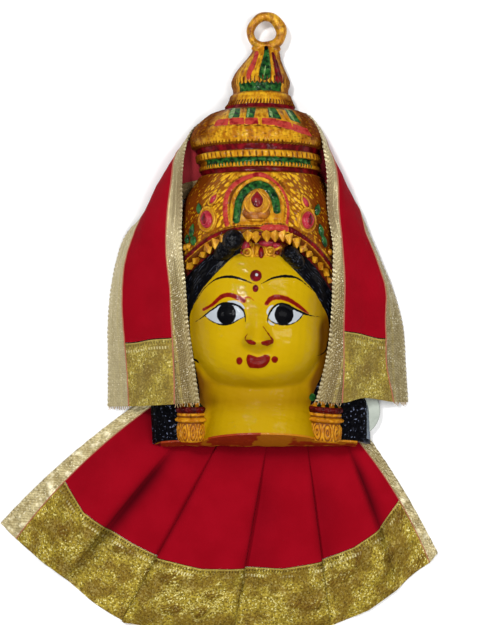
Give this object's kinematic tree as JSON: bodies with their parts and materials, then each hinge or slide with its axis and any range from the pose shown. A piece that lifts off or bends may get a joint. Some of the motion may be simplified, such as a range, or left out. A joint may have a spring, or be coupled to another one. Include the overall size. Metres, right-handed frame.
{
  "type": "deity face mask",
  "caption": "Cast and painted goddess face mask with a tiered crown and hanging ring, dressed in a red veil and pleated skirt with gold lace and brocade.",
  "frame": {"origin": "on the table, under the middle of the whole object's bounding box", "axes": "the mask lies on its back: +Z out of the face, +Y from the neck to the hanging ring, +X to the right of someone who looks at the face"},
  "size_m": [0.2596, 0.3674, 0.0567],
  "materials": {
    "painted_casting": "glossy enamel in yellow, gold, red, green, pink and black over cast metal",
    "red_cloth": "matt short pile",
    "gold_lace": "metallic thread ribbon",
    "gold_brocade": "glittering metallic weave"
  },
  "bodies": {
    "root": {"mask": "painted_casting", "veil_cloth": "red_cloth", "veil_front_lace": "gold_lace", "veil_back_lace": "gold_lace", "veil_left_border": "gold_brocade", "veil_right_border": "gold_brocade", "skirt_cloth": "red_cloth", "skirt_hem_border": "gold_brocade", "skirt_left_lace": "gold_lace", "skirt_right_lace": "gold_lace"}
  },
  "joints": []
}
